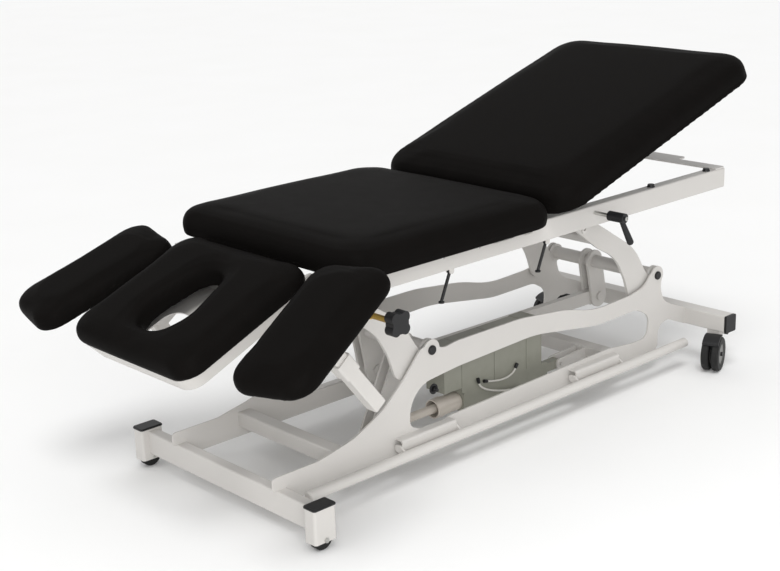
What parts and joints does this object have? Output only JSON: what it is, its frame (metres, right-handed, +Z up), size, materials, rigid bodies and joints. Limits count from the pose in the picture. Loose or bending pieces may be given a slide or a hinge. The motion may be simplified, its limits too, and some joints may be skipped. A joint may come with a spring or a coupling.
{
  "type": "chiropractic table",
  "caption": "Height adjustable treatment table with padded sections, a face opening, drop armrests and an electric rocking-arm lift on a wheeled steel base.",
  "frame": {"origin": "on the floor, under the middle of the table's overall box", "axes": "+X along the table towards the raised back end and the castors, +Y across it, +Z up"},
  "size_m": [1.9302, 1.0878, 0.9085],
  "materials": {
    "beige_tube": "satin beige",
    "black_plastic": "black moulded plastic",
    "black_vinyl": "matt black upholstery vinyl",
    "brass": "yellow passivated",
    "bright_steel": "bright zinc plated",
    "grey_cable": "light grey cable sheath",
    "grey_housing": "grey green moulded plastic",
    "white_paint": "satin warm white powder coat"
  },
  "bodies": {
    "base": {"side_plate_near": "white_paint", "side_plate_far": "white_paint", "front_beam": "white_paint", "front_posts": "white_paint", "frame_end_caps": "black_plastic", "rear_beam": "white_paint", "base_cross_tubes": "white_paint", "foot_bar_brackets": "white_paint", "lift_axles": "bright_steel", "actuator_clevis": "white_paint", "front_wheel_bolts": "bright_steel"},
    "front_rocker": {"front_arm_near": "white_paint", "front_arm_far": "white_paint", "front_arm_hub": "white_paint"},
    "rear_rocker": {"rear_arm_near": "white_paint", "rear_arm_far": "white_paint", "rear_arm_hub": "white_paint"},
    "coupler": {"coupler_bar": "white_paint"},
    "actuator_body": {"actuator_housing": "grey_housing", "actuator_tube": "beige_tube", "control_box": "grey_housing", "actuator_cables": "grey_cable"},
    "actuator_ram": {"actuator_rod": "bright_steel"},
    "top_frame": {"rail_near": "white_paint", "rail_far": "white_paint", "top_cross_members": "white_paint", "top_end_plate": "white_paint", "rail_bumpers": "black_plastic", "mid_pad": "black_vinyl", "armrest_hangers": "white_paint", "clamp_studs": "brass"},
    "head_section": {"head_tray": "white_paint", "head_pad": "black_vinyl"},
    "head_spring_body": {"head_spring_cylinder": "black_plastic"},
    "head_spring_ram": {"head_spring_rod": "bright_steel"},
    "back_section": {"back_bar_near": "white_paint", "back_bar_far": "white_paint", "back_pad": "black_vinyl"},
    "back_strap": {"back_strap": "white_paint"},
    "back_clamp_handle": {"back_clamp_handle": "black_plastic"},
    "head_release": {"head_release_rod": "black_plastic"},
    "back_release": {"back_release_rod": "black_plastic"},
    "front_wheel_near": {"front_wheel_near": "black_plastic"},
    "castor_near": {"castor_fork_near": "black_plastic"},
    "castor_wheels_near": {"castor_wheels_near": "black_plastic"},
    "castor_pedal_near": {"castor_pedal_near": "black_plastic"},
    "foot_bar_near": {"foot_bar_near": "white_paint"},
    "armrest_swing_near": {"armrest_swing_near": "white_paint"},
    "armrest_near": {"armrest_post_near": "white_paint", "armrest_pad_near": "black_vinyl"},
    "armrest_knob_near": {"armrest_knob_near": "black_plastic"},
    "front_wheel_far": {"front_wheel_far": "black_plastic"},
    "castor_far": {"castor_fork_far": "black_plastic"},
    "castor_wheels_far": {"castor_wheels_far": "black_plastic"},
    "castor_pedal_far": {"castor_pedal_far": "black_plastic"},
    "foot_bar_far": {"foot_bar_far": "white_paint"},
    "armrest_swing_far": {"armrest_swing_far": "white_paint"},
    "armrest_far": {"armrest_post_far": "white_paint", "armrest_pad_far": "black_vinyl"},
    "armrest_knob_far": {"armrest_knob_far": "black_plastic"}
  },
  "joints": [
    {"name": "lift_front_arms", "type": "hinge", "parent": "base", "child": "front_rocker", "pos_m": [-0.21431, 0, 0.305], "axis": [0, 1, 0], "range_deg": [-18, 22]},
    {"name": "lift_rear_arms", "type": "hinge", "parent": "base", "child": "rear_rocker", "pos_m": [0.69069, 0, 0.291], "axis": [0, 1, 0], "range_deg": [-18, 22]},
    {"name": "top_frame_level", "type": "hinge", "parent": "front_rocker", "child": "top_frame", "pos_m": [-0.57431, 0, 0.555], "axis": [0, 1, 0], "range_deg": [-22, 18]},
    {"name": "coupler_front_pivot", "type": "hinge", "parent": "front_rocker", "child": "coupler", "pos_m": [-0.19231, 0.048, 0.192], "axis": [0, 1, 0], "range_deg": [-22, 18]},
    {"name": "actuator_rear_pivot", "type": "hinge", "parent": "base", "child": "actuator_body", "pos_m": [0.37669, -0.088, 0.086], "axis": [0, 1, 0], "range_deg": [-2.88, 3.52]},
    {"name": "actuator_front_pivot", "type": "hinge", "parent": "front_rocker", "child": "actuator_ram", "pos_m": [-0.32431, -0.088, 0.09], "axis": [0, 1, 0], "range_deg": [-18.48, 15.12]},
    {"name": "front_wheel_spin_near", "type": "hinge", "parent": "base", "child": "front_wheel_near", "pos_m": [-0.70381, -0.3345, 0.027], "axis": [0, 1, 0], "continuous": true},
    {"name": "castor_swivel_near", "type": "hinge", "parent": "base", "child": "castor_near", "pos_m": [0.84969, -0.297, 0.113], "axis": [0, 0, 1], "continuous": true},
    {"name": "castor_wheel_spin_near", "type": "hinge", "parent": "castor_near", "child": "castor_wheels_near", "pos_m": [0.81421, -0.31062, 0.05], "axis": [-0.3584, 0.9336, 0], "continuous": true},
    {"name": "castor_brake_near", "type": "hinge", "parent": "castor_near", "child": "castor_pedal_near", "pos_m": [0.88143, -0.28481, 0.091], "axis": [-0.3584, 0.9336, 0], "range_deg": [-4, 10]},
    {"name": "foot_bar_tip_near", "type": "hinge", "parent": "base", "child": "foot_bar_near", "pos_m": [0.11469, -0.21, 0.092], "axis": [1, 0, 0], "range_deg": [-5, 5], "stiffness_Nm_per_rad": 60, "springref_deg": -0.74},
    {"name": "armrest_swing_near", "type": "hinge", "parent": "top_frame", "child": "armrest_swing_near", "pos_m": [-0.52531, -0.27, 0.5], "axis": [0, 1, 0], "range_deg": [-30, 3]},
    {"name": "armrest_slide_near", "type": "slide", "parent": "armrest_swing_near", "child": "armrest_near", "axis": [-0.6184, 0, 0.7859], "range_m": [0, 0.06]},
    {"name": "armrest_knob_turn_near", "type": "hinge", "parent": "top_frame", "child": "armrest_knob_near", "pos_m": [-0.52531, -0.4, 0.5], "axis": [0, 1, 0], "continuous": true},
    {"name": "front_wheel_spin_far", "type": "hinge", "parent": "base", "child": "front_wheel_far", "pos_m": [-0.70381, 0.3345, 0.027], "axis": [0, 1, 0], "continuous": true},
    {"name": "castor_swivel_far", "type": "hinge", "parent": "base", "child": "castor_far", "pos_m": [0.84969, 0.297, 0.113], "axis": [0, 0, 1], "continuous": true},
    {"name": "castor_wheel_spin_far", "type": "hinge", "parent": "castor_far", "child": "castor_wheels_far", "pos_m": [0.81421, 0.31062, 0.05], "axis": [0.3584, 0.9336, 0], "continuous": true},
    {"name": "castor_brake_far", "type": "hinge", "parent": "castor_far", "child": "castor_pedal_far", "pos_m": [0.88143, 0.28481, 0.091], "axis": [0.3584, 0.9336, 0], "range_deg": [-4, 10]},
    {"name": "foot_bar_tip_far", "type": "hinge", "parent": "base", "child": "foot_bar_far", "pos_m": [0.11469, 0.21, 0.092], "axis": [1, 0, 0], "range_deg": [-5, 5], "stiffness_Nm_per_rad": 60, "springref_deg": 0.74},
    {"name": "armrest_swing_far", "type": "hinge", "parent": "top_frame", "child": "armrest_swing_far", "pos_m": [-0.52531, 0.27, 0.5], "axis": [0, 1, 0], "range_deg": [-30, 3]},
    {"name": "armrest_slide_far", "type": "slide", "parent": "armrest_swing_far", "child": "armrest_far", "axis": [-0.5821, 0, 0.8131], "range_m": [-0.02, 0.06]},
    {"name": "armrest_knob_turn_far", "type": "hinge", "parent": "top_frame", "child": "armrest_knob_far", "pos_m": [-0.52531, 0.4, 0.5], "axis": [0, 1, 0], "continuous": true},
    {"name": "head_tilt", "type": "hinge", "parent": "top_frame", "child": "head_section", "pos_m": [-0.60731, 0, 0.549], "axis": [0, 1, 0], "range_deg": [-35, 12]},
    {"name": "head_spring_frame_pivot", "type": "hinge", "parent": "top_frame", "child": "head_spring_body", "pos_m": [-0.48682, 0, 0.52992], "axis": [0, 1, 0], "range_deg": [-17.5, 6]},
    {"name": "head_spring_tray_pivot", "type": "hinge", "parent": "head_section", "child": "head_spring_ram", "pos_m": [-0.69867, 0, 0.46814], "axis": [0, 1, 0], "range_deg": [-6, 17.5]},
    {"name": "back_tilt", "type": "hinge", "parent": "top_frame", "child": "back_section", "pos_m": [0.11569, 0, 0.584], "axis": [0, -1, 0], "range_deg": [-16.9, 14.5]},
    {"name": "back_strap_pivot", "type": "hinge", "parent": "back_section", "child": "back_strap", "pos_m": [0.31403, 0, 0.63395], "axis": [0, -1, 0], "range_deg": [-7.25, 8.45]},
    {"name": "back_clamp_turn", "type": "hinge", "parent": "top_frame", "child": "back_clamp_handle", "pos_m": [0.31869, -0.27, 0.559], "axis": [0, -1, 0], "range_deg": [0, 50]},
    {"name": "head_release_squeeze", "type": "hinge", "parent": "top_frame", "child": "head_release", "pos_m": [-0.20331, -0.255, 0.5157], "axis": [0, 1, 0], "range_deg": [-18, 18], "stiffness_Nm_per_rad": 1},
    {"name": "back_release_squeeze", "type": "hinge", "parent": "top_frame", "child": "back_release", "pos_m": [0.14269, -0.255, 0.5157], "axis": [0, 1, 0], "range_deg": [-18, 18], "stiffness_Nm_per_rad": 1}
  ],
  "couplings": [
    {"joint": "lift_rear_arms", "follows": "lift_front_arms", "ratio": 1},
    {"joint": "top_frame_level", "follows": "lift_front_arms", "ratio": -1},
    {"joint": "coupler_front_pivot", "follows": "lift_front_arms", "ratio": -1},
    {"joint": "actuator_rear_pivot", "follows": "lift_front_arms", "ratio": 0.16},
    {"joint": "actuator_front_pivot", "follows": "lift_front_arms", "ratio": -0.84},
    {"joint": "head_spring_frame_pivot", "follows": "head_tilt", "ratio": 0.5},
    {"joint": "head_spring_tray_pivot", "follows": "head_tilt", "ratio": -0.5},
    {"joint": "back_strap_pivot", "follows": "back_tilt", "ratio": -0.5}
  ]
}
